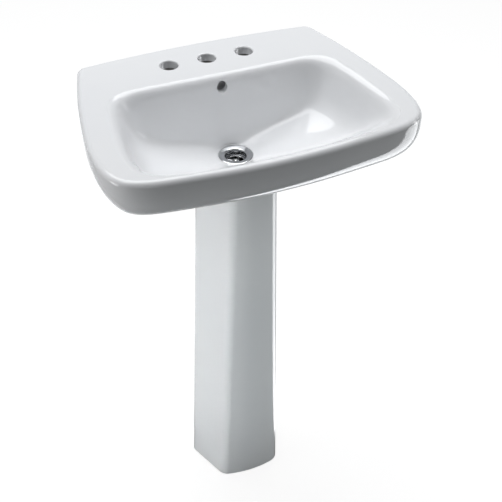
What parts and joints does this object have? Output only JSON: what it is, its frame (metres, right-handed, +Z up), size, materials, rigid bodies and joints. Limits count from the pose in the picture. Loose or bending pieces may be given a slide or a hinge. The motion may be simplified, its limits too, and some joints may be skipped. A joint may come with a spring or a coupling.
{
  "type": "pedestal sink",
  "caption": "White vitreous china pedestal sink: wide rounded basin with tap deck, soft rectangular bowl, chrome strainer waste, tubular trap and a tapered faceted column.",
  "frame": {"origin": "on the floor under the middle of the object's bounding box", "axes": "+Z up, +Y towards the wall behind the basin, +X to the right seen from the front"},
  "size_m": [0.5618, 0.4092, 0.86],
  "materials": {
    "china": "glossy white vitreous glaze",
    "sealant": "white silicone bead",
    "waste_chrome": "polished chrome plate",
    "steel": "turned stainless",
    "white_seal": "soft polyethylene",
    "black_rubber": "moulded rubber",
    "nylon": "natural nylon",
    "brass": "machined brass",
    "tube_chrome": "chrome-plated brass tube"
  },
  "bodies": {
    "root": {"basin_deck": "china", "basin_back_wall": "china", "basin_apron_left": "china", "basin_apron_right": "china", "basin_apron_front": "china", "basin_bowl_left": "china", "basin_bowl_right": "china", "basin_boss": "china", "basin_overflow_duct": "china", "basin_column_seat": "china", "pedestal": "china", "pedestal_bedding": "sealant", "drain_body": "waste_chrome", "drain_strainer": "waste_chrome", "strainer_screw": "steel", "flange_gasket": "white_seal", "mack_gasket": "black_rubber", "slip_washer": "nylon", "lock_nut": "brass", "tailpiece": "tube_chrome", "tailpiece_nut": "tube_chrome", "tailpiece_washer": "white_seal", "trap_inlet_nut": "tube_chrome", "trap_inlet_washer": "white_seal", "trap_j_bend": "tube_chrome", "trap_outlet_nut": "tube_chrome", "trap_outlet_washer": "white_seal", "trap_arm": "tube_chrome", "cleanout_plug": "brass", "cleanout_gasket": "black_rubber"}
  },
  "joints": []
}
